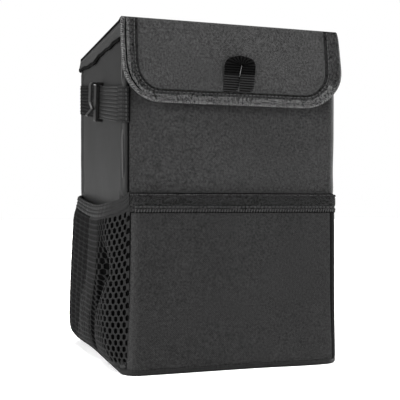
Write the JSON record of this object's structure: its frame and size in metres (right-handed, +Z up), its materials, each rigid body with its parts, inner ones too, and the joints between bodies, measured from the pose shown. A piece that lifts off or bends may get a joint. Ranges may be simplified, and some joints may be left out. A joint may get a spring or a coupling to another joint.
{
  "type": "car trash bin",
  "caption": "Soft-sided box bin for a car, with a hinged lid and front flap, a front pocket, net side pockets and strap hooks to hang it by.",
  "frame": {"origin": "centre of the base's underside, on the floor", "axes": "+Z up, -Y out of the front with the flap and the pocket, +X to the bin's right side seen from the front"},
  "size_m": [0.1944, 0.1755, 0.254],
  "materials": {
    "outer_cloth": "coated plain weave, matt black",
    "stiffener": "rolled sheet, not seen",
    "film": "smooth welded film, soft sheen",
    "binding_tape": "ribbed woven tape",
    "net": "open knitted net",
    "elastic": "ribbed folded elastic",
    "webbing": "ribbed webbing",
    "hook_plastic": "moulded, satin",
    "pile_strip": "touch fastener pile"
  },
  "bodies": {
    "bin": {"front_panel": "outer_cloth", "back_panel": "outer_cloth", "left_panel": "outer_cloth", "right_panel": "outer_cloth", "base_panel": "outer_cloth", "front_board": "stiffener", "back_board": "stiffener", "left_board": "stiffener", "right_board": "stiffener", "base_board": "stiffener", "lining": "film", "rim_binding": "binding_tape", "front_pocket": "outer_cloth", "front_pocket_hem": "binding_tape", "left_net_front_corner": "net", "right_net_front_corner": "net", "left_net_front": "net", "right_net_front": "net", "left_net_side": "net", "right_net_side": "net", "left_net_rear": "net", "right_net_rear": "net", "left_net_rear_corner": "net", "right_net_rear_corner": "net", "left_net_foot": "net", "right_net_foot": "net", "left_elastic_front": "elastic", "right_elastic_front": "elastic", "left_elastic_side": "elastic", "right_elastic_side": "elastic", "left_elastic_rear": "elastic", "right_elastic_rear": "elastic", "left_strap": "webbing", "right_strap": "webbing", "loop_strip": "pile_strip", "lid_hinge_tape": "outer_cloth"},
    "lid": {"lid_cover": "outer_cloth", "lid_board": "stiffener", "lid_lining": "film", "lid_left_skirt": "outer_cloth", "lid_right_skirt": "outer_cloth"},
    "flap": {"flap_cover": "outer_cloth", "flap_stiffener": "stiffener", "flap_lining": "film", "flap_binding": "binding_tape", "pull_loop": "webbing", "hook_strip": "pile_strip"},
    "left_hook": {"left_clip": "hook_plastic"},
    "right_hook": {"right_clip": "hook_plastic"}
  },
  "joints": [
    {"name": "lid_hinge", "type": "hinge", "parent": "bin", "child": "lid", "pos_m": [0, 0.0844, 0.25105], "axis": [-1, 0, 0], "range_deg": [0, 180]},
    {"name": "flap_hinge", "type": "hinge", "parent": "lid", "child": "flap", "pos_m": [0, -0.08535, 0.254], "axis": [-1, 0, 0], "range_deg": [0, 150]},
    {"name": "left_clip_slide", "type": "slide", "parent": "bin", "child": "left_hook", "axis": [0, 0.9898, 0.1426], "range_m": [-0.054, 0.078]},
    {"name": "right_clip_slide", "type": "slide", "parent": "bin", "child": "right_hook", "axis": [0, 0.9898, 0.1426], "range_m": [-0.054, 0.078]}
  ]
}
